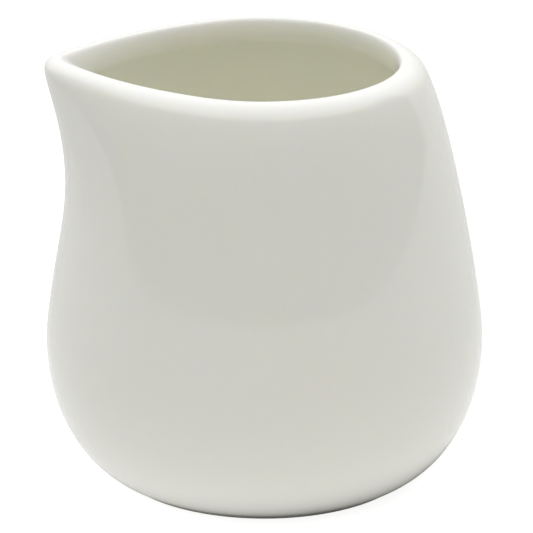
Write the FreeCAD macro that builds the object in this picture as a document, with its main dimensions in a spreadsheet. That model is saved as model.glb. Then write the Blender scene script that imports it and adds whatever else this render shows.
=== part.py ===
import FreeCAD
import Part
import Sketcher
import math
import os
from FreeCAD import Placement, Rotation, Vector

# A handleless cream jug in glazed porcelain. Frame: millimetres, +Z up, origin at the centre of the
# foot on the surface that the jug rests on, pouring lip pointing along -X.
#
# The jug is round about Z except for its lip. Every skin is a loft through level sections. A section
# is one closed outline of tangent arcs: the round of the body in two halves that meet at the back, two
# long flanks and the nose of the lip. Below the lip all the arcs lie on one circle.

# ---------------------------------------------------------------------------------------------
# Driving dimensions
# ---------------------------------------------------------------------------------------------

DRIVING = [
    # alias, value, meaning (mm, or degrees for an angle)
    ("belly_radius", "34", "outside of the glaze at the widest level"),
    ("jug_height", "66.4", "resting surface to the crest of the rim"),
    ("wall", "2.8", "glazed wall"),
    ("glaze_depth", "0.25", "fired glaze"),
    ("foot_radius", "23.4", "outside of the bare foot ring"),
    ("foot_width", "3.6", "foot ring, outside to inside"),
    ("foot_stand", "0.35", "resting surface to the lower edge of the outer glaze"),
    ("foot_edge", "0.3", "round on both edges of the foot ring"),
    ("foot_slope", "22", "slope of the skin where it leaves the foot (degrees)"),
    ("recess_depth", "1.3", "hollow inside the foot ring"),
    ("recess_corner", "0.9", "round between the hollow's side and its roof"),
    ("floor_level", "3.7", "resting surface to the inside floor"),
    ("floor_radius", "19", "flat part of the inside floor"),
    ("floor_pull", "5.6", "handle of the inside's lower curve at the floor"),
    ("floor_drop", "13.5", "handle of the inside's lower curve at the belly"),
    ("belly_level", "21.6", "height of the widest level"),
    ("foot_pull", "5.5", "handle of the outside's lower curve at its foot"),
    ("belly_drop", "12", "handle of the outside's lower curve at the belly"),
    ("belly_lift", "5.4", "handle of the upper curve at the belly"),
    ("neck_radius", "24.7", "outside, where the rim starts to round over"),
    ("neck_lean", "31", "inward lean of the wall at the neck (degrees)"),
    ("neck_pull", "7.1", "handle of the upper curve at the neck"),
    ("roll_radius", "4.1", "outer rounding of the rim"),
    ("crest_flat", "0.17", "level top of the rim, between its two roundings"),
    ("edge_breadth", "0.8", "inner rounding of the rim, across"),
    ("edge_drop", "2.2", "inner rounding of the rim, downward"),
    ("lip_reach", "10.4", "how far the lip stands out from the round at the crest"),
    ("lip_depth", "27.9", "height over which the lip grows out of the wall"),
    ("lip_power", "2.12", "how late the lip grows (exponent)"),
    ("flank_angle", "67.4", "bearing from the lip where a flank leaves the round (degrees)"),
    ("nose_angle", "35.5", "bearing from the lip where a flank meets the nose (degrees)"),
]

doc = FreeCAD.newDocument("cream_jug")
sheet = doc.addObject("Spreadsheet::Sheet", "Dims")
for row, (alias, value, meaning) in enumerate(DRIVING, start=1):
    sheet.set(f"A{row}", meaning)
    sheet.set(f"B{row}", value)
    sheet.setAlias(f"B{row}", alias)
doc.recompute()

# ---------------------------------------------------------------------------------------------
# Formulas, as expression text over the sheet's cells
# ---------------------------------------------------------------------------------------------

LEAN = "(Dims.neck_lean * 1 deg)"
SLOPE = "(Dims.foot_slope * 1 deg)"
FLANK = "(Dims.flank_angle * 1 deg)"
NOSE = "(Dims.nose_angle * 1 deg)"

# Radius that a flank gains for each millimetre of reach, so that neighbouring arcs stay tangent.
FLANK_GAIN = f"(sin{NOSE} / (sin({FLANK} - {NOSE}) - sin{FLANK} + sin{NOSE}))"

# The rim is a level crest between a round outer edge and an elliptical inner one.
CREST_RADIUS = f"(Dims.neck_radius - Dims.roll_radius * cos{LEAN})"
MOUTH_RADIUS = f"({CREST_RADIUS} - Dims.crest_flat)"

# Inside of the foot ring, and how level an edge must be to count as lying on the resting surface.
RING_RADIUS = "(Dims.foot_radius - Dims.foot_width)"
FLATNESS = 1e-4

# Where the sections stand along each curve. A loft needs them closer together where it turns faster.
LOWER_SHARES = (0.0, 0.12, 0.25, 0.4, 0.55, 0.75, 1.0)
UPPER_SHARES = (0.2, 0.4, 0.55, 0.7, 0.85, 1.0)
ROLL_SHARES = (0.25, 0.5, 0.75, 1.0)
EDGE_SHARES = (0.0, 0.2, 0.45, 0.7)


def value_of(text):
    """The number that an expression gives now."""
    return float(sheet.evalExpression(text))


def curve_point(anchors, share):
    """Expression for one coordinate of a cubic curve with four anchors, at a share of its run."""
    rest = 1 - share
    weights = (rest ** 3, 3 * share * rest ** 2, 3 * share ** 2 * rest, share ** 3)
    return " + ".join(f"{weight:.6f} * ({anchor})" for weight, anchor in zip(weights, anchors))


def rim_point(top_radius, breadth, drop, inset, sweep):
    """Radius and height on a rounding of the rim, at an angle round it from the outside up."""
    across = f"{top_radius} + ({breadth} - {inset}) * cos({sweep})"
    height = f"Dims.jug_height - {drop} + ({drop} - {inset}) * sin({sweep})"
    return across, height


def outer_stations(inset):
    """Radius and height pairs up the outside, foot to crest, at an inset from the glaze's surface."""
    foot = (f"Dims.foot_radius - {inset} * sin{SLOPE}", f"Dims.foot_stand + {inset} * cos{SLOPE}")
    belly = (f"Dims.belly_radius - {inset}", "Dims.belly_level")
    roll = (CREST_RADIUS, "Dims.roll_radius", "Dims.roll_radius", inset)
    neck = rim_point(*roll, LEAN)
    lower_across = (foot[0], f"{foot[0]} + Dims.foot_pull * cos{SLOPE}", belly[0], belly[0])
    lower_height = (foot[1], f"{foot[1]} + Dims.foot_pull * sin{SLOPE}",
                    "Dims.belly_level - Dims.belly_drop", belly[1])
    upper_across = (belly[0], belly[0], f"{neck[0]} + Dims.neck_pull * sin{LEAN}", neck[0])
    upper_height = (belly[1], "Dims.belly_level + Dims.belly_lift",
                    f"{neck[1]} - Dims.neck_pull * cos{LEAN}", neck[1])
    stations = [(curve_point(lower_across, share), curve_point(lower_height, share))
                for share in LOWER_SHARES]
    stations += [(curve_point(upper_across, share), curve_point(upper_height, share))
                 for share in UPPER_SHARES]
    stations += [rim_point(*roll, f"{LEAN} + {share} * (90 deg - {LEAN})") for share in ROLL_SHARES]
    return stations


def cavity_stations(inset):
    """Radius and height pairs down the inside, crest to floor, at an inset from the glaze's surface."""
    edge = (MOUTH_RADIUS, "Dims.edge_breadth", "Dims.edge_drop", inset)
    stretch = f"(Dims.edge_drop - {inset}) / (Dims.edge_breadth - {inset})"
    neck_sweep = f"(180 deg + atan(tan{LEAN} * {stretch}))"
    belly = f"Dims.belly_radius - Dims.wall + {inset}"
    neck = rim_point(*edge, neck_sweep)
    floor = f"Dims.floor_level - {inset}"
    lower_across = ("Dims.floor_radius", "Dims.floor_radius + Dims.floor_pull", belly, belly)
    lower_height = (floor, floor, "Dims.belly_level - Dims.floor_drop", "Dims.belly_level")
    upper_across = (belly, belly, f"{neck[0]} + Dims.neck_pull * sin{LEAN}", neck[0])
    upper_height = ("Dims.belly_level", "Dims.belly_level + Dims.belly_lift",
                    f"{neck[1]} - Dims.neck_pull * cos{LEAN}", neck[1])
    stations = [rim_point(*edge, f"90 deg + {share} * ({neck_sweep} - 90 deg)")
                for share in EDGE_SHARES]
    stations += [(curve_point(upper_across, share), curve_point(upper_height, share))
                 for share in reversed(UPPER_SHARES)]
    stations += [(curve_point(lower_across, share), curve_point(lower_height, share))
                 for share in reversed(LOWER_SHARES)]
    return stations


def reach_at(height):
    """How far the lip stands out at a height."""
    start = "(Dims.jug_height - Dims.lip_depth)"
    return f"Dims.lip_reach * max(0; (({height}) - {start}) / Dims.lip_depth) ^ Dims.lip_power"


# ---------------------------------------------------------------------------------------------
# Sketches
# ---------------------------------------------------------------------------------------------

def origin_plane(body, role):
    return next(plane for plane in body.Origin.OriginFeatures if plane.Role == role)


def new_sketch(body, label, role):
    sketch = body.newObject("Sketcher::SketchObject", label)
    sketch.AttachmentSupport = [(origin_plane(body, role), "")]
    sketch.MapMode = "FlatFace"
    return sketch


def direction(angle):
    return Vector(math.cos(angle), math.sin(angle), 0)


def arc_between(centre, radius, start, end):
    return Part.ArcOfCircle(Part.Circle(centre, Vector(0, 0, 1), radius), start, end)


# What a sketch's constraints call the points of its curves, its own axes and its origin.
START, END, CENTRE = 1, 2, 3
X_AXIS, Y_AXIS = -1, -2
ORIGIN = (X_AXIS, START)


def level_section(body, label, across, height):
    """One level section of a skin: round, flank, nose and flank, each tangent to the next."""
    sketch = new_sketch(body, label, "XY_Plane")
    sketch.setExpression("AttachmentOffset.Base.z", height)
    reach = reach_at(height)
    flank_text = f"{across} + {FLANK_GAIN} * {reach}"
    round_radius = value_of(across)
    flank_radius = value_of(flank_text)
    to_flank = math.pi - math.radians(value_of("Dims.flank_angle"))
    to_nose = math.pi - math.radians(value_of("Dims.nose_angle"))

    flank_centre = direction(to_flank) * (round_radius - flank_radius)
    nose_start = flank_centre + direction(to_nose) * flank_radius
    nose_radius = nose_start.y / math.sin(to_nose)
    nose_centre = nose_start - direction(to_nose) * nose_radius
    mirrored = Vector(flank_centre.x, -flank_centre.y, 0)
    full_turn = 2 * math.pi

    near_round = sketch.addGeometry(arc_between(Vector(), round_radius, 0, to_flank))
    flank = sketch.addGeometry(arc_between(flank_centre, flank_radius, to_flank, to_nose))
    nose = sketch.addGeometry(arc_between(nose_centre, nose_radius, to_nose, full_turn - to_nose))
    far_flank = sketch.addGeometry(
        arc_between(mirrored, flank_radius, full_turn - to_nose, full_turn - to_flank))
    far_round = sketch.addGeometry(
        arc_between(Vector(), round_radius, full_turn - to_flank, full_turn))
    flank_ray = sketch.addGeometry(
        Part.LineSegment(Vector(), direction(to_flank) * round_radius), True)
    nose_ray = sketch.addGeometry(Part.LineSegment(flank_centre, nose_start), True)

    constraint = Sketcher.Constraint
    sketch.addConstraint([
        constraint("Coincident", near_round, CENTRE, *ORIGIN),
        constraint("Coincident", far_round, CENTRE, *ORIGIN),
        constraint("PointOnObject", near_round, START, X_AXIS),
        constraint("Coincident", near_round, END, flank, START),
        constraint("Coincident", flank, END, nose, START),
        constraint("Coincident", nose, END, far_flank, START),
        constraint("Coincident", far_flank, END, far_round, START),
        constraint("Coincident", far_round, END, near_round, START),
        constraint("Vertical", near_round, END, far_round, START),
        constraint("Vertical", nose, START, nose, END),
        constraint("Equal", flank, far_flank),
        constraint("Coincident", flank_ray, START, *ORIGIN),
        constraint("Coincident", flank_ray, END, near_round, END),
        constraint("PointOnObject", flank, CENTRE, flank_ray),
        constraint("Coincident", nose_ray, START, flank, CENTRE),
        constraint("Coincident", nose_ray, END, flank, END),
        constraint("PointOnObject", nose, CENTRE, nose_ray),
        constraint("PointOnObject", nose, CENTRE, X_AXIS),
    ])
    sizes = (
        ("flank_bearing", constraint("Angle", flank_ray, to_flank), f"180 deg - {FLANK}"),
        ("nose_bearing", constraint("Angle", nose_ray, to_nose), f"180 deg - {NOSE}"),
        ("round_radius", constraint("Radius", near_round, round_radius), across),
        ("flank_radius", constraint("Radius", flank, flank_radius), flank_text),
    )
    for name, size, text in sizes:
        sketch.renameConstraint(sketch.addConstraint(size), name)
        sketch.setExpression(f"Constraints.{name}", text)
    return sketch


def loft_through(body, label, kind, stations):
    """A loft through a level section at every station, added to the body or cut from it."""
    sections = [level_section(body, f"{label}_{number}", across, height)
                for number, (across, height) in enumerate(stations, start=1)]
    doc.recompute()
    loft = body.newObject(kind, label)
    loft.Profile = sections[0]
    loft.Sections = [(section, [""]) for section in sections[1:]]
    doc.recompute()
    return loft


# ---------------------------------------------------------------------------------------------
# Sub-parts
# ---------------------------------------------------------------------------------------------

def foot_circle(body, label):
    """A circle of the foot ring's size on the resting surface."""
    sketch = new_sketch(body, label, "XY_Plane")
    radius = value_of("Dims.foot_radius")
    circle = sketch.addGeometry(Part.Circle(Vector(), Vector(0, 0, 1), radius))
    sketch.addConstraint(Sketcher.Constraint("Coincident", circle, CENTRE, *ORIGIN))
    size = sketch.addConstraint(Sketcher.Constraint("Radius", circle, radius))
    sketch.renameConstraint(size, "foot_radius")
    sketch.setExpression("Constraints.foot_radius", "Dims.foot_radius")
    return sketch


def recess_outline(sketch, thickness):
    """Half section inside the foot ring: side, round corner and roof, and a lower line back.

    With no thickness the outline is the whole hollow, down to the resting surface. With one, it is
    a layer of that thickness on the roof and the corner.
    """
    ring_radius = value_of(RING_RADIUS)
    depth = value_of("Dims.recess_depth")
    corner = value_of("Dims.recess_corner")
    centre = Vector(ring_radius - corner, depth - corner, 0)
    roof_end = centre + Vector(0, corner, 0)
    corner_end = centre + Vector(corner, 0, 0)
    quarter = math.pi / 2
    constraint = Sketcher.Constraint
    sizes = []

    roof = sketch.addGeometry(Part.LineSegment(Vector(0, depth, 0), roof_end))
    bend = sketch.addGeometry(arc_between(centre, corner, 0, quarter))
    sketch.addConstraint([
        constraint("Horizontal", roof),
        constraint("PointOnObject", roof, START, Y_AXIS),
        constraint("Tangent", roof, END, bend, END),
    ])
    sizes.append(("recess_depth", constraint("DistanceY", *ORIGIN, roof, START, depth),
                  "Dims.recess_depth"))
    sizes.append(("recess_corner", constraint("Radius", bend, corner), "Dims.recess_corner"))
    sizes.append(("ring_radius", constraint("DistanceX", *ORIGIN, bend, START, ring_radius),
                  RING_RADIUS))

    if thickness is None:
        side = sketch.addGeometry(Part.LineSegment(corner_end, Vector(ring_radius, 0, 0)))
        base = sketch.addGeometry(Part.LineSegment(Vector(ring_radius, 0, 0), Vector()))
        axis = sketch.addGeometry(Part.LineSegment(Vector(), Vector(0, depth, 0)))
        sketch.addConstraint([
            constraint("Tangent", side, START, bend, START),
            constraint("Coincident", side, END, base, START),
            constraint("PointOnObject", base, START, X_AXIS),
            constraint("Coincident", base, END, *ORIGIN),
            constraint("Coincident", axis, START, base, END),
            constraint("Coincident", axis, END, roof, START),
        ])
    else:
        depth_in = value_of(thickness)
        lip = sketch.addGeometry(
            Part.LineSegment(corner_end, corner_end - Vector(depth_in, 0, 0)))
        inner_bend = sketch.addGeometry(arc_between(centre, corner - depth_in, 0, quarter))
        inner_roof = sketch.addGeometry(
            Part.LineSegment(roof_end - Vector(0, depth_in, 0), Vector(0, depth - depth_in, 0)))
        axis = sketch.addGeometry(
            Part.LineSegment(Vector(0, depth - depth_in, 0), Vector(0, depth, 0)))
        sketch.addConstraint([
            constraint("Coincident", lip, START, bend, START),
            constraint("Horizontal", lip),
            constraint("Coincident", lip, END, inner_bend, START),
            constraint("Coincident", inner_bend, CENTRE, bend, CENTRE),
            constraint("Tangent", inner_bend, END, inner_roof, START),
            constraint("PointOnObject", inner_roof, END, Y_AXIS),
            constraint("Coincident", axis, START, inner_roof, END),
            constraint("Coincident", axis, END, roof, START),
        ])
        sizes.append(("layer", constraint("DistanceX", lip, END, lip, START, depth_in), thickness))

    for name, size, text in sizes:
        sketch.renameConstraint(sketch.addConstraint(size), name)
        sketch.setExpression(f"Constraints.{name}", text)


def turned_about_z(body, label, kind, sketch):
    turned = body.newObject(kind, label)
    turned.Profile = sketch
    turned.ReferenceAxis = (sketch, ["V_Axis"])
    turned.Angle = 360
    doc.recompute()
    return turned


def foot_edges(shape):
    """Names of the circular edges that lie on the resting surface."""
    names = []
    for number, edge in enumerate(shape.Edges, start=1):
        if edge.BoundBox.ZMax < FLATNESS and isinstance(edge.Curve, Part.Circle):
            names.append(f"Edge{number}")
    return names


def porcelain_body():
    """The fired clay: wall, lip, floor and the bare ring that the jug stands on."""
    body = doc.addObject("PartDesign::Body", "porcelain_body")
    loft_through(body, "clay_skin", "PartDesign::AdditiveLoft", outer_stations("Dims.glaze_depth"))

    foot = body.newObject("PartDesign::Pad", "foot")
    foot.Profile = foot_circle(body, "foot_outline")
    foot.setExpression("Length", "Dims.recess_depth")
    doc.recompute()

    loft_through(body, "clay_hollow", "PartDesign::SubtractiveLoft",
                 cavity_stations("Dims.glaze_depth"))

    outline = new_sketch(body, "recess_outline", "XZ_Plane")
    recess_outline(outline, None)
    recess = turned_about_z(body, "recess", "PartDesign::Groove", outline)

    rounded = body.newObject("PartDesign::Fillet", "foot_rounds")
    rounded.Base = (recess, foot_edges(recess.Shape))
    rounded.setExpression("Radius", "Dims.foot_edge")
    doc.recompute()
    return body


def glaze_coat(clay):
    """The dipped glaze: one skin up the outside, over the rim and down to the inside floor."""
    form = doc.addObject("PartDesign::Body", "glazed_form")
    loft_through(form, "glazed_skin", "PartDesign::AdditiveLoft", outer_stations("0"))
    loft_through(form, "glazed_hollow", "PartDesign::SubtractiveLoft", cavity_stations("0"))

    wiped = form.newObject("PartDesign::Pocket", "wiped_foot")
    wiped.Profile = foot_circle(form, "wiped_outline")
    wiped.Reversed = True
    wiped.setExpression("Length", "(Dims.recess_depth + Dims.floor_level) / 2")
    doc.recompute()

    coat = doc.addObject("Part::Cut", "glaze_coat")
    coat.Base = form
    coat.Tool = clay
    doc.recompute()
    return coat


def base_glaze():
    """The glaze left inside the foot ring when the ring is wiped bare."""
    body = doc.addObject("PartDesign::Body", "base_glaze")
    outline = new_sketch(body, "base_outline", "XZ_Plane")
    recess_outline(outline, "Dims.glaze_depth")
    turned_about_z(body, "base_layer", "PartDesign::Revolution", outline)
    return body


clay = porcelain_body()
sub_parts = [clay, glaze_coat(clay), base_glaze()]
for item in sub_parts:
    item.Placement = Placement(Vector(), Rotation())
doc.recompute()

faulty = [item.Label for item in doc.Objects if "Invalid" in item.State or "Error" in item.State]
for item in sub_parts:
    if item.Shape.isNull() or not item.Shape.isValid():
        faulty.append(item.Label)
if faulty:
    raise RuntimeError(f"objects in error: {faulty}")

os.makedirs("parts", exist_ok=True)
for item in sub_parts:
    item.Shape.exportStep(f"parts/{item.Label}.step")
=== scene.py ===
import math

import bpy
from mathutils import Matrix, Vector


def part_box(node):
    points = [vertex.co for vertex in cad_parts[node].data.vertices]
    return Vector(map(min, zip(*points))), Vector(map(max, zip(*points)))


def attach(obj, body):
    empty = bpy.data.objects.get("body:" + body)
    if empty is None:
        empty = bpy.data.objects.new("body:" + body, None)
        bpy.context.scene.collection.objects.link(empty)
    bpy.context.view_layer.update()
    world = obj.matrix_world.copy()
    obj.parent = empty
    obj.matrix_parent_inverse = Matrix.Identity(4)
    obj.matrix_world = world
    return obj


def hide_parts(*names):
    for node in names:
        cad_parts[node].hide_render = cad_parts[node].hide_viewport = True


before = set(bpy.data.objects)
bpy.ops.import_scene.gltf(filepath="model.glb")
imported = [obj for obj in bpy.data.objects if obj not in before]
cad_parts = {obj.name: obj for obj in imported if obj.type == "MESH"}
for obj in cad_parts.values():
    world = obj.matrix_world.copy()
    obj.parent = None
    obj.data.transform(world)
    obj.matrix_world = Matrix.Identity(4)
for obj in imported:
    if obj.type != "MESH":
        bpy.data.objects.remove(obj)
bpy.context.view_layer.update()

# A glazed porcelain cream jug, in metres, in the CAD frame: origin at the centre of the foot on the
# table, +Z up, pouring lip along -X. A bearing is an angle round the jug, counted from the lip.

MM = 0.001

# ---------------------------------------------------------------------------------------------
# Sizes, all from the frame
# ---------------------------------------------------------------------------------------------

GLAZE_LOW, GLAZE_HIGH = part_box("glaze_coat")
CLAY_LOW, CLAY_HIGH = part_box("porcelain_body")
BASE_LOW, BASE_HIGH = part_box("base_glaze")

BELLY = GLAZE_HIGH.x
HEIGHT = GLAZE_HIGH.z
TABLE_LEVEL = CLAY_LOW.z
FOOT_STAND = GLAZE_LOW.z
GLAZE = GLAZE_HIGH.z - CLAY_HIGH.z
RING_INSIDE = BASE_HIGH.x
RECESS = BASE_HIGH.z
RECESS_CORNER = BASE_HIGH.z - BASE_LOW.z

# The wall's outline, as shares of the belly radius.
FOOT_RADIUS = 0.6882 * BELLY
FOOT_EDGE = 0.0088 * BELLY
FLOOR_LEVEL = 0.1088 * BELLY
FLOOR_RADIUS = 0.5588 * BELLY
BELLY_LEVEL = 0.6353 * BELLY
NECK_RADIUS = 0.7265 * BELLY
WALL = 0.0824 * BELLY
FOOT_SLOPE = math.radians(22)
NECK_LEAN = math.radians(31)

# The rim: a large round outside, a narrow flat crest, and half an ellipse inside.
ROLL_RADIUS = 0.1206 * BELLY
CREST_FLAT = 0.005 * BELLY
EDGE_BREADTH = 0.0235 * BELLY
EDGE_HEIGHT = 0.0647 * BELLY
CREST_RADIUS = NECK_RADIUS - ROLL_RADIUS * math.cos(NECK_LEAN)
MOUTH_RADIUS = CREST_RADIUS - CREST_FLAT

# The handles of the outline's curves: a longer one makes that end of the curve fuller.
FLOOR_PULL = 0.1647 * BELLY
FLOOR_DROP = 0.3971 * BELLY
FOOT_PULL = 0.1618 * BELLY
BELLY_DROP = 0.3529 * BELLY
BELLY_LIFT = 0.1588 * BELLY
NECK_PULL = 0.2088 * BELLY

# The lip: how far it reaches, how deep it starts, and the bearings where its outline changes.
LIP_REACH = 0.3059 * BELLY
LIP_DEPTH = 0.8206 * BELLY
LIP_POWER = 2.12
FLANK_ANGLE = math.radians(67.4)
NOSE_ANGLE = math.radians(35.5)
LIP_SOFTNESS = math.radians(9)

# The unevenness of casting and firing: how much, and how far round the jug it is turned.
OVAL_SWELL, OVAL_TURN = 0.10 * MM, 0.7
RIPPLE_SWELL, RIPPLE_TURN, RIPPLE_TWIST = 0.035 * MM, 1.9, 4
RIM_WAVE, RIM_TURN = 0.07 * MM, 2.1

# Painted shade and painted highlight on the glaze: how far the painted shade reaches from the inside
# corner and from the glaze's lower edge by the foot, how much of it lies on the middle of the floor,
# and how far the painted highlight reaches from the crest.
CORNER_SHADE_REACH = 2.2 * MM
LOWER_SHADE_REACH = 0.7 * MM
FLOOR_MIDDLE_SHADE = 0.35
FLOOR_MIDDLE = 0.8 * FLOOR_RADIUS
CREST_HIGHLIGHT_REACH = 1.2 * MM

# Radius of the smallest ring of a mesh, just before it closes on the axis.
LAST_RING = 0.25 * MM

# The glaze in the foot: its gap to the clay, and the angle at which the arc of its corner stops.
BASE_GAP = 0.02 * MM
BASE_END = math.radians(8)


# ---------------------------------------------------------------------------------------------
# Form
# ---------------------------------------------------------------------------------------------

def cubic(start, start_handle, end_handle, end, rows):
    """Points along a cubic curve, without its start."""
    anchors = (start, start_handle, end_handle, end)
    points = []
    for step in range(1, rows + 1):
        share = step / rows
        rest = 1 - share
        weights = (rest ** 3, 3 * share * rest ** 2, 3 * share ** 2 * rest, share ** 3)
        points.append(tuple(sum(w * a[axis] for w, a in zip(weights, anchors)) for axis in (0, 1)))
    return points


def on_arc(centre, radius, angle, stretch=1.0):
    """A point of an arc in the half section. stretch makes the arc taller."""
    return (centre[0] + radius * math.cos(angle), centre[1] + stretch * radius * math.sin(angle))


def arc(centre, radius, first, last, rows, stretch=1.0):
    """Points along an arc in the half section, without its start."""
    return [on_arc(centre, radius, first + (last - first) * step / rows, stretch)
            for step in range(1, rows + 1)]


def line(start, end, rows):
    """Points along a straight stretch, without its start."""
    return [tuple(a + (b - a) * step / rows for a, b in zip(start, end))
            for step in range(1, rows + 1)]


def below_neck(neck):
    """The handle of a curve that comes up to the neck, leaning as the wall does."""
    return (neck[0] + NECK_PULL * math.sin(NECK_LEAN), neck[1] - NECK_PULL * math.cos(NECK_LEAN))


def inside_profile():
    """Radius and height pairs from the middle of the inside floor up to the crest."""
    belly = (BELLY - WALL, BELLY_LEVEL)
    floor_end = (FLOOR_RADIUS, FLOOR_LEVEL)
    edge_centre = (MOUTH_RADIUS, HEIGHT - EDGE_HEIGHT)
    stretch = EDGE_HEIGHT / EDGE_BREADTH
    neck_angle = math.pi + math.atan(stretch * math.tan(NECK_LEAN))
    neck = on_arc(edge_centre, EDGE_BREADTH, neck_angle, stretch)
    points = line((0, FLOOR_LEVEL), floor_end, rows=6)
    points += cubic(floor_end, (FLOOR_RADIUS + FLOOR_PULL, FLOOR_LEVEL),
                    (belly[0], BELLY_LEVEL - FLOOR_DROP), belly, rows=12)
    points += cubic(belly, (belly[0], BELLY_LEVEL + BELLY_LIFT), below_neck(neck), neck, rows=14)
    points += arc(edge_centre, EDGE_BREADTH, neck_angle, math.pi / 2, rows=9, stretch=stretch)
    return points


def outside_profile():
    """Radius and height pairs from the crest down to the glaze's lower edge."""
    roll_centre = (CREST_RADIUS, HEIGHT - ROLL_RADIUS)
    neck = on_arc(roll_centre, ROLL_RADIUS, NECK_LEAN)
    belly = (BELLY, BELLY_LEVEL)
    foot = (FOOT_RADIUS, FOOT_STAND)
    foot_handle = (FOOT_RADIUS + FOOT_PULL * math.cos(FOOT_SLOPE),
                   FOOT_STAND + FOOT_PULL * math.sin(FOOT_SLOPE))
    points = [(CREST_RADIUS, HEIGHT)]
    points += arc(roll_centre, ROLL_RADIUS, math.pi / 2, NECK_LEAN, rows=8)
    points += cubic(neck, below_neck(neck), (BELLY, BELLY_LEVEL + BELLY_LIFT), belly, rows=14)
    points += cubic(belly, (BELLY, BELLY_LEVEL - BELLY_DROP), foot_handle, foot, rows=14)
    return points


def foot_profile():
    """Radius and height pairs round the bare ring and into the hollow under the floor."""
    outer_centre = (FOOT_RADIUS - FOOT_EDGE, FOOT_EDGE)
    inner_centre = (RING_INSIDE + FOOT_EDGE, FOOT_EDGE)
    corner_centre = (RING_INSIDE - RECESS_CORNER, RECESS - RECESS_CORNER)
    points = line((FOOT_RADIUS, FOOT_STAND), (FOOT_RADIUS, FOOT_EDGE), rows=2)
    points += arc(outer_centre, FOOT_EDGE, 0, -math.pi / 2, rows=4)
    points += line((outer_centre[0], 0), (inner_centre[0], 0), rows=5)
    points += arc(inner_centre, FOOT_EDGE, -math.pi / 2, -math.pi, rows=4)
    points += line((RING_INSIDE, FOOT_EDGE), (RING_INSIDE, BASE_LOW.z), rows=1)
    points += arc(corner_centre, RECESS_CORNER, 0, math.pi / 2, rows=5)
    points += line((corner_centre[0], RECESS), (LAST_RING, RECESS), rows=6)
    return points


def base_glaze_profile():
    """Radius and height pairs round the glaze in the foot: its top, its edge, then its underside."""
    edge_round = 0.5 * GLAZE
    top = RECESS - BASE_GAP
    underside = RECESS - GLAZE
    corner_centre = (RING_INSIDE - RECESS_CORNER, RECESS - RECESS_CORNER)
    edge_centre = (RING_INSIDE - edge_round - BASE_GAP, BASE_LOW.z + edge_round)
    points = line((0, top), (corner_centre[0], top), rows=8)
    points += arc(corner_centre, RECESS_CORNER - BASE_GAP, math.pi / 2, BASE_END, rows=6)
    points += arc(edge_centre, edge_round, 0, -math.pi, rows=5)
    points += arc(corner_centre, RECESS_CORNER - GLAZE, BASE_END, math.pi / 2, rows=6)
    points += line((corner_centre[0], underside), (LAST_RING, underside), rows=7)
    return points


def lip_shift(bearing):
    """How far the lip carries the outline, per unit of reach, along the lip and across it.

    bearing is the direction that the outline faces. The three stretches are the nose, the flanks
    and the round, which the lip leaves alone.
    """
    # These gains make the tip move by one unit, and the nose meet the flanks.
    spread = math.sin(FLANK_ANGLE - NOSE_ANGLE) - math.sin(FLANK_ANGLE) + math.sin(NOSE_ANGLE)
    flank_gain = math.sin(NOSE_ANGLE) / spread
    nose_loss = (math.sin(FLANK_ANGLE) - math.sin(NOSE_ANGLE)) / spread
    size = abs(bearing)
    if size >= FLANK_ANGLE:
        return 0.0, 0.0
    if size >= NOSE_ANGLE:
        along = flank_gain * (math.cos(size) - math.cos(FLANK_ANGLE))
        across = flank_gain * (math.sin(size) - math.sin(FLANK_ANGLE))
    else:
        along = 1 + nose_loss - nose_loss * math.cos(size)
        across = -nose_loss * math.sin(size)
    return along, across if bearing >= 0 else -across


def soft_lip_shift(bearing):
    """The same, averaged over nearby bearings so that its stretches run into one another."""
    steps = 12
    along = across = total = 0.0
    for step in range(-steps, steps + 1):
        weight = 1 + math.cos(math.pi * step / (steps + 1))
        near = lip_shift(bearing + LIP_SOFTNESS * step / steps)
        along += weight * near[0]
        across += weight * near[1]
        total += weight
    return along / total, across / total


def bearings():
    """Bearings from the lip all the way round, closest together on the flanks of the lip."""
    stretches = ((0, NOSE_ANGLE, 10), (NOSE_ANGLE, FLANK_ANGLE, 12), (FLANK_ANGLE, math.pi, 34))
    half = [first + (last - first) * step / count
            for first, last, count in stretches for step in range(count)]
    return half + [math.pi] + [-bearing for bearing in reversed(half[1:])]


def kiln_drift(bearing, height):
    """How far the unevenness moves the skin, outward and upward: slightly oval, with a wavy rim."""
    share = height / HEIGHT
    oval = OVAL_SWELL * share * math.cos(2 * bearing + OVAL_TURN)
    ripple = RIPPLE_SWELL * math.sin(3 * bearing + RIPPLE_TWIST * share + RIPPLE_TURN)
    rise = RIM_WAVE * share ** 3 * math.cos(2 * bearing + RIM_TURN)
    return oval + ripple, rise


def skin_point(radius, height, bearing, shift):
    """A point of the jug's skin. The unevenness fades out towards the axis and the table."""
    grown = max(0.0, (height - (HEIGHT - LIP_DEPTH)) / LIP_DEPTH)
    reach = LIP_REACH * grown ** LIP_POWER
    swell, rise = kiln_drift(bearing, height)
    radius += swell * min(1.0, radius / FOOT_RADIUS) * min(1.0, height / FOOT_RADIUS)
    along = radius * math.cos(bearing) + reach * shift[0]
    across = radius * math.sin(bearing) + reach * shift[1]
    return Vector((-along, -across, height + rise))


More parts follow.
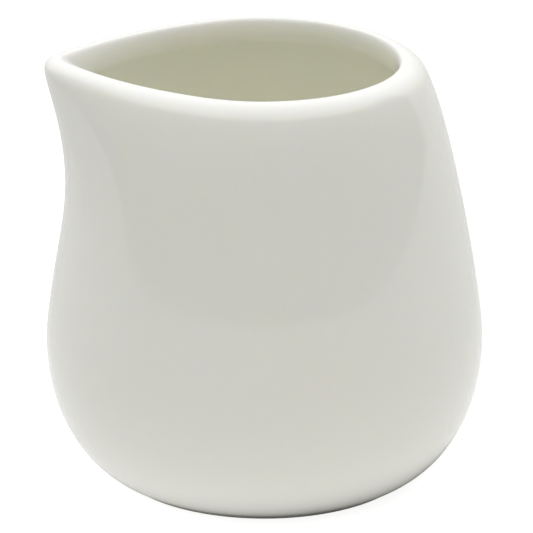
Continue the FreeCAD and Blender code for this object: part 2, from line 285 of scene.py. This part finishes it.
def revolve(name, profile, material_of):
    """A closed mesh: the profile carried round every bearing, with both ends closed on the axis.

    material_of gives the material slot for a row of faces, counted from the profile's start.
    """
    turns = bearings()
    shifts = [soft_lip_shift(bearing) for bearing in turns]
    count = len(turns)
    columns = [(column, (column + 1) % count) for column in range(count)]
    last_row = len(profile) - 1
    vertices = [skin_point(radius, height, bearing, shift)
                for radius, height in profile for bearing, shift in zip(turns, shifts)]
    faces, slots = [], []
    for row in range(last_row):
        here, below = row * count, (row + 1) * count
        faces += [(here + column, below + column, below + after, here + after)
                  for column, after in columns]
        slots += [material_of(row)] * count
    for row in (0, last_row):
        middle = len(vertices)
        vertices.append(Vector((0, 0, profile[row][1])))
        fans = [(row * count + column, row * count + after, middle) for column, after in columns]
        faces += fans if row == 0 else [fan[::-1] for fan in fans]
        slots += [material_of(min(row, last_row - 1))] * count
    mesh = bpy.data.meshes.new(name)
    mesh.from_pydata(vertices, [], faces)
    mesh.polygons.foreach_set("material_index", slots)
    mesh.polygons.foreach_set("use_smooth", [True] * len(faces))
    mesh.update()
    mesh.validate()
    piece = bpy.data.objects.new(name, mesh)
    bpy.context.scene.collection.objects.link(piece)
    return piece


def painted_shading_at(radius, height):
    """Painted shading: -1 is painted highlight on the crest, 1 painted shade in the lower corners.
    """
    inside_corner = math.exp(-((height - FLOOR_LEVEL) / CORNER_SHADE_REACH) ** 2)
    lower_edge = math.exp(-((height - FOOT_STAND) / LOWER_SHADE_REACH) ** 2)
    crest = math.exp(-((height - HEIGHT) / CREST_HIGHLIGHT_REACH) ** 2)
    share = 1.0 if radius > FLOOR_MIDDLE else FLOOR_MIDDLE_SHADE
    return max(inside_corner * share, lower_edge) - crest


def mark_painted_shading(piece):
    """Stores the painted shade and painted highlight on every vertex, for the material to read."""
    depth = piece.data.attributes.new("painted_shading", "FLOAT", "POINT")
    for vertex in piece.data.vertices:
        place = vertex.co
        depth.data[vertex.index].value = painted_shading_at(math.hypot(place.x, place.y), place.z)


def smooth_surface(piece, levels):
    """Subdivides the piece's faces into a smoother surface."""
    rounding = piece.modifiers.new("rounding", "SUBSURF")
    rounding.levels = levels
    rounding.render_levels = levels


# ---------------------------------------------------------------------------------------------
# Materials
# ---------------------------------------------------------------------------------------------

class Nodes:
    """A node tree, with short calls to add nodes and join them."""

    def __init__(self, owner, place):
        owner.use_nodes = True
        self.nodes = owner.node_tree.nodes
        self.links = owner.node_tree.links
        self.place = self.nodes.new("ShaderNodeTexCoord").outputs[place]

    def join(self, source, socket):
        """Feeds a socket from another socket, or sets it to a plain value."""
        if isinstance(source, bpy.types.NodeSocket):
            self.links.new(source, socket)
        else:
            socket.default_value = source

    def ramp(self, source, low, high, bottom=0.0, top=1.0):
        """Maps the stretch from low to high smoothly onto the one from bottom to top."""
        node = self.nodes.new("ShaderNodeMapRange")
        node.interpolation_type = "SMOOTHSTEP"
        self.join(source, node.inputs["Value"])
        ends = {"From Min": low, "From Max": high, "To Min": bottom, "To Max": top}
        for name, value in ends.items():
            node.inputs[name].default_value = value
        return node.outputs["Result"]

    def combine(self, operation, first, second):
        """The result of a maths operation on two values."""
        node = self.nodes.new("ShaderNodeMath")
        node.operation = operation
        self.join(first, node.inputs[0])
        self.join(second, node.inputs[1])
        return node.outputs["Value"]

    def pale_to_camera(self, strength):
        """The strength, but at least CAMERA_GLOW for what the camera sees directly."""
        seen = self.nodes.new("ShaderNodeLightPath").outputs["Is Camera Ray"]
        return self.combine("MAXIMUM", strength, self.combine("MULTIPLY", seen, CAMERA_GLOW))


class Shader(Nodes):
    """A material's node tree. Patterns are in the object's own metres."""

    # The share of a spot's radius within which it is solid.
    SPOT_CORE = 0.6

    def __init__(self, name):
        self.material = bpy.data.materials.new(name)
        super().__init__(self.material, "Object")
        self.surface = self.nodes["Principled BSDF"]

    def noise(self, per_metre, detail=2.0, roughness=0.5):
        """Cloudy variation between 0 and 1."""
        node = self.nodes.new("ShaderNodeTexNoise")
        node.inputs["Scale"].default_value = per_metre
        node.inputs["Detail"].default_value = detail
        node.inputs["Roughness"].default_value = roughness
        self.join(self.place, node.inputs["Vector"])
        return node.outputs["Fac"]

    def mix(self, share, first, second):
        """A colour between two others."""
        node = self.nodes.new("ShaderNodeMix")
        node.data_type = "RGBA"
        colours = [socket for socket in node.inputs if socket.type == "RGBA"]
        self.join(share, node.inputs["Factor"])
        self.join(first, colours[0])
        self.join(second, colours[1])
        return next(socket for socket in node.outputs if socket.type == "RGBA")

    def specks(self, per_metre, size, share):
        """Spots: 1 inside, 0 outside. size is in cells, share is the part of the cells with one."""
        cells = self.nodes.new("ShaderNodeTexVoronoi")
        cells.inputs["Scale"].default_value = per_metre
        self.join(self.place, cells.inputs["Vector"])
        split = self.nodes.new("ShaderNodeSeparateColor")
        self.join(cells.outputs["Color"], split.inputs["Color"])
        chosen = self.combine("LESS_THAN", split.outputs["Red"], share)
        spot = self.ramp(cells.outputs["Distance"], self.SPOT_CORE * size, size, bottom=1.0, top=0.0)
        return self.combine("MULTIPLY", spot, chosen)

    def bump(self, height, depth, below=None):
        """A surface direction that follows the height, on top of the bump below it."""
        node = self.nodes.new("ShaderNodeBump")
        node.inputs["Distance"].default_value = depth
        self.join(height, node.inputs["Height"])
        if below is not None:
            self.join(below, node.inputs["Normal"])
        return node.outputs["Normal"]

    def attribute(self, name):
        """A value stored on the mesh."""
        node = self.nodes.new("ShaderNodeAttribute")
        node.attribute_name = name
        return node.outputs["Fac"]

    def set(self, **values):
        """Sets the surface's own inputs, named with _ for each space."""
        for name, value in values.items():
            self.join(value, self.surface.inputs[name.replace("_", " ")])


# Colours: red, green and blue, with 1 for solid.
PORCELAIN = (0.930, 0.929, 0.85, 1)
PORCELAIN_WARM = (0.932, 0.925, 0.84, 1)
# Painted shade for the inside corner and the glaze's lower edge, and a painted highlight for the
# crest.
PAINTED_SHADE_TONE = (0.86, 0.87, 0.81, 1)
PAINTED_CREST_HIGHLIGHT = (0.93, 0.93, 0.915, 1)
IRON_SPECK = (0.33, 0.24, 0.16, 1)
CLAY_SHADE = (0.70, 0.665, 0.58, 1)
CLAY = (0.79, 0.765, 0.70, 1)
SCUFF = (0.42, 0.40, 0.37, 1)
ACRYLIC_DARK = (0.30, 0.30, 0.295, 1)
ACRYLIC_PALE = (0.33, 0.33, 0.325, 1)
TABLE_LIGHT = (1.0, 0.998, 0.99, 1)
ROOM_WHITE = (1, 1, 1, 1)

# How far red, green and blue light travel in porcelain, relative to one another.
SINKING = (1.0, 0.86, 0.68)
GLAZE_IOR = 1.52


def glazed_porcelain(name, softness):
    """White porcelain under clear glaze: light sinks in a little, and the glaze reflects sharply.

    softness is the share of the light that sinks in. It is 0 for a layer too thin to model that.
    """
    shader = Shader(name)
    painted_shading = shader.attribute("painted_shading")
    iron = shader.specks(per_metre=170, size=0.022, share=0.035)
    clouds = shader.noise(per_metre=38, detail=3)
    tone = shader.mix(shader.ramp(clouds, 0.35, 0.65), PORCELAIN, PORCELAIN_WARM)
    # Painted shade in the inside corner and by the foot, and a painted highlight on the crest.
    tone = shader.mix(shader.ramp(painted_shading, 0.0, 1.0, top=0.55), tone, PAINTED_SHADE_TONE)
    tone = shader.mix(shader.ramp(painted_shading, -1.0, 0.0, bottom=0.6, top=0.0), tone, PAINTED_CREST_HIGHLIGHT)
    tone = shader.mix(iron, tone, IRON_SPECK)
    swell = shader.bump(shader.noise(per_metre=95, detail=1.0), 0.008 * MM)
    peel = shader.bump(shader.noise(per_metre=620), 0.0014 * MM, swell)
    pits = shader.bump(shader.specks(per_metre=300, size=0.03, share=0.03), -0.02 * MM, peel)
    haze = shader.noise(per_metre=70, detail=4.0, roughness=0.6)
    gloss = shader.ramp(haze, 0.3, 0.75, bottom=0.02, top=0.055)
    shader.set(Base_Color=tone, Roughness=0.5, Specular_IOR_Level=0.0, Normal=swell,
               Subsurface_Weight=softness, Subsurface_Radius=SINKING, Subsurface_Scale=1.1 * MM,
               Coat_Weight=1.0, Coat_Roughness=gloss, Coat_IOR=GLAZE_IOR, Coat_Normal=pits)
    return shader.material


def bare_clay():
    """The wiped foot: matte, fine-grained, and greyed where it has stood on things."""
    shader = Shader("bare_clay")
    grain = shader.noise(per_metre=2600, detail=4.0, roughness=0.65)
    tone = shader.mix(shader.ramp(grain, 0.35, 0.7), CLAY_SHADE, CLAY)
    scuff = shader.noise(per_metre=420, detail=6.0, roughness=0.7)
    tone = shader.mix(shader.ramp(scuff, 0.56, 0.72, top=0.45), tone, SCUFF)
    roughness = shader.ramp(grain, 0.2, 0.8, bottom=0.62, top=0.85)
    shader.set(Base_Color=tone, Roughness=roughness, Normal=shader.bump(grain, 0.02 * MM),
               Subsurface_Weight=0.3, Subsurface_Radius=SINKING, Subsurface_Scale=0.8 * MM)
    return shader.material


def lit_table_finish():
    """Milky acrylic, lit from below. It throws little light up where the jug shades it, but looks
    evenly pale to the camera.
    """
    shader = Shader("lit_table")
    haze = shader.noise(per_metre=14, detail=4.0, roughness=0.6)
    tone = shader.mix(shader.ramp(haze, 0.3, 0.7), ACRYLIC_DARK, ACRYLIC_PALE)
    away = shader.nodes.new("ShaderNodeVectorMath")
    away.operation = "DISTANCE"
    away.inputs[1].default_value = (SHADE_SHIFT, 0, 0)
    shader.join(shader.place, away.inputs[0])
    distance = away.outputs["Value"]
    shade = shader.ramp(distance, FOOT_RADIUS, SHADE_END, bottom=SHADE_GLOW)
    glow = shader.ramp(distance, NEAR_END, FAR_START, NEAR_GLOW, FAR_GLOW)
    glow = shader.pale_to_camera(shader.combine("MULTIPLY", glow, shade))
    roughness = shader.ramp(haze, 0.2, 0.8, bottom=0.55, top=0.7)
    shader.set(Base_Color=tone, Roughness=roughness, Specular_IOR_Level=0.1,
               Emission_Color=TABLE_LIGHT, Emission_Strength=glow)
    return shader.material


# ---------------------------------------------------------------------------------------------
# Pieces
# ---------------------------------------------------------------------------------------------

GLAZED, BARE = 0, 1


def jug_shell():
    """The clay wall and its glaze, from the middle of the inside floor round to the hollow foot."""
    glazed = inside_profile() + outside_profile()
    piece = revolve("jug_shell", glazed + foot_profile(),
                    lambda row: GLAZED if row < len(glazed) - 1 else BARE)
    # Stores painted shade and a painted highlight for the glaze to read.
    mark_painted_shading(piece)
    piece.data.materials.append(glazed_porcelain("glazed_wall", softness=0.55))
    piece.data.materials.append(bare_clay())
    smooth_surface(piece, levels=2)
    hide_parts("porcelain_body", "glaze_coat")
    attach(piece, "root")


def base_layer():
    """The glaze inside the foot ring, with the rounded edge that wiping leaves."""
    piece = revolve("base_glaze_layer", base_glaze_profile(), lambda row: GLAZED)
    # Stores painted shade and a painted highlight for the glaze to read.
    mark_painted_shading(piece)
    piece.data.materials.append(glazed_porcelain("glazed_base", softness=0.0))
    smooth_surface(piece, levels=1)
    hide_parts("base_glaze")
    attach(piece, "root")


# ---------------------------------------------------------------------------------------------
# Studio
# ---------------------------------------------------------------------------------------------

# How bright the table and the room look where the camera sees them directly.
CAMERA_GLOW = 0.9

# The room's light. A direction's level runs from -1 straight down to 1 straight up, and its depth
# from -1 towards the camera to 1 away from it. Above the edge the room is bright, and below it dim.
# The edge is high in front and at the sides, and drops to a bright screen behind.
FRONT_EDGE = 0.58
BACK_EDGE = -0.2
SCREEN_START = 0.38
SCREEN_END = 0.55
EDGE_FADE = 0.2
ROOM_LIGHT = 0.2
SIDE_LIGHT = 0.78
TOP_LIGHT = 1.66

# The table's own light, near the jug and further off, and the shade in which the jug stands, which
# lies a little to the right.
NEAR_GLOW = 0.63
FAR_GLOW = 0.41
NEAR_END = 0.04
FAR_START = 0.13
SHADE_GLOW = 0.05
SHADE_END = 0.95 * BELLY
SHADE_SHIFT = 0.1 * BELLY

# The table's edges, in metres from the jug. The glaze mirrors them.
TABLE_LEFT, TABLE_RIGHT = -0.62, 0.75
TABLE_FRONT, TABLE_BACK = -2.2, 3.0

# The camera: its angles, its distance and target, its lens in millimetres, the lens's shifts as
# shares of the picture's width, and how far it sees.
CAMERA_ELEVATION = math.radians(20.27)
CAMERA_TURN = math.radians(1.04)
CAMERA_DISTANCE = 22 * BELLY
TARGET_LEVEL = 0.978 * BELLY
SENSOR_WIDTH = 36
LENS_LENGTH = 325.9
SHIFT_ACROSS = 0.0036
SHIFT_UP = -0.0079
VIEW_DEPTH = 20


def lit_table():
    """The pale table that the jug stands on."""
    corners = [(TABLE_LEFT, TABLE_FRONT, TABLE_LEVEL), (TABLE_RIGHT, TABLE_FRONT, TABLE_LEVEL),
               (TABLE_RIGHT, TABLE_BACK, TABLE_LEVEL), (TABLE_LEFT, TABLE_BACK, TABLE_LEVEL)]
    mesh = bpy.data.meshes.new("lit_table")
    mesh.from_pydata(corners, [], [(0, 1, 2, 3)])
    mesh.materials.append(lit_table_finish())
    table = bpy.data.objects.new("lit_table", mesh)
    bpy.context.scene.collection.objects.link(table)


def studio_light():
    """Soft white light from overhead and from a screen behind the jug. Lower down in front and at
    the sides the room is dim, and the glaze mirrors the edge between the two.
    """
    world = bpy.data.worlds.new("studio")
    bpy.context.scene.world = world
    room = Nodes(world, "Generated")
    direction = room.nodes.new("ShaderNodeSeparateXYZ")
    room.join(room.place, direction.inputs["Vector"])
    depth = direction.outputs["Y"]
    level = direction.outputs["Z"]
    edge = room.ramp(depth, SCREEN_START, SCREEN_END, FRONT_EDGE, BACK_EDGE)
    over_edge = room.combine("SUBTRACT", level, edge)
    bright = room.combine("MULTIPLY", room.ramp(over_edge, 0.0, EDGE_FADE),
                          room.ramp(level, 0.0, 1.0, SIDE_LIGHT, TOP_LIGHT))
    dim = room.ramp(over_edge, 0.0, EDGE_FADE, bottom=ROOM_LIGHT, top=0.0)
    background = room.nodes["Background"]
    background.inputs["Color"].default_value = ROOM_WHITE
    strength = room.pale_to_camera(room.combine("ADD", bright, dim))
    room.join(strength, background.inputs["Strength"])


def camera():
    """A long lens about 20 degrees above the table, looking at the middle of the jug."""
    back = Vector((math.sin(CAMERA_TURN) * math.cos(CAMERA_ELEVATION),
                   -math.cos(CAMERA_TURN) * math.cos(CAMERA_ELEVATION),
                   math.sin(CAMERA_ELEVATION)))
    lens = bpy.data.cameras.new("camera")
    lens.sensor_width = SENSOR_WIDTH
    lens.lens = LENS_LENGTH
    lens.shift_x = SHIFT_ACROSS
    lens.shift_y = SHIFT_UP
    lens.clip_end = VIEW_DEPTH
    eye = bpy.data.objects.new("camera", lens)
    eye.location = Vector((0, 0, TARGET_LEVEL)) + back * CAMERA_DISTANCE
    eye.rotation_euler = (-back).to_track_quat("-Z", "Y").to_euler()
    bpy.context.scene.collection.objects.link(eye)
    bpy.context.scene.camera = eye


def bounces_and_colour():
    """Enough bounces for the light inside the jug, and plain colours without a film look."""
    scene = bpy.context.scene
    scene.cycles.max_bounces = 16
    scene.cycles.diffuse_bounces = 12
    scene.view_settings.view_transform = "Standard"


jug_shell()
base_layer()
lit_table()
studio_light()
camera()
bounces_and_colour()
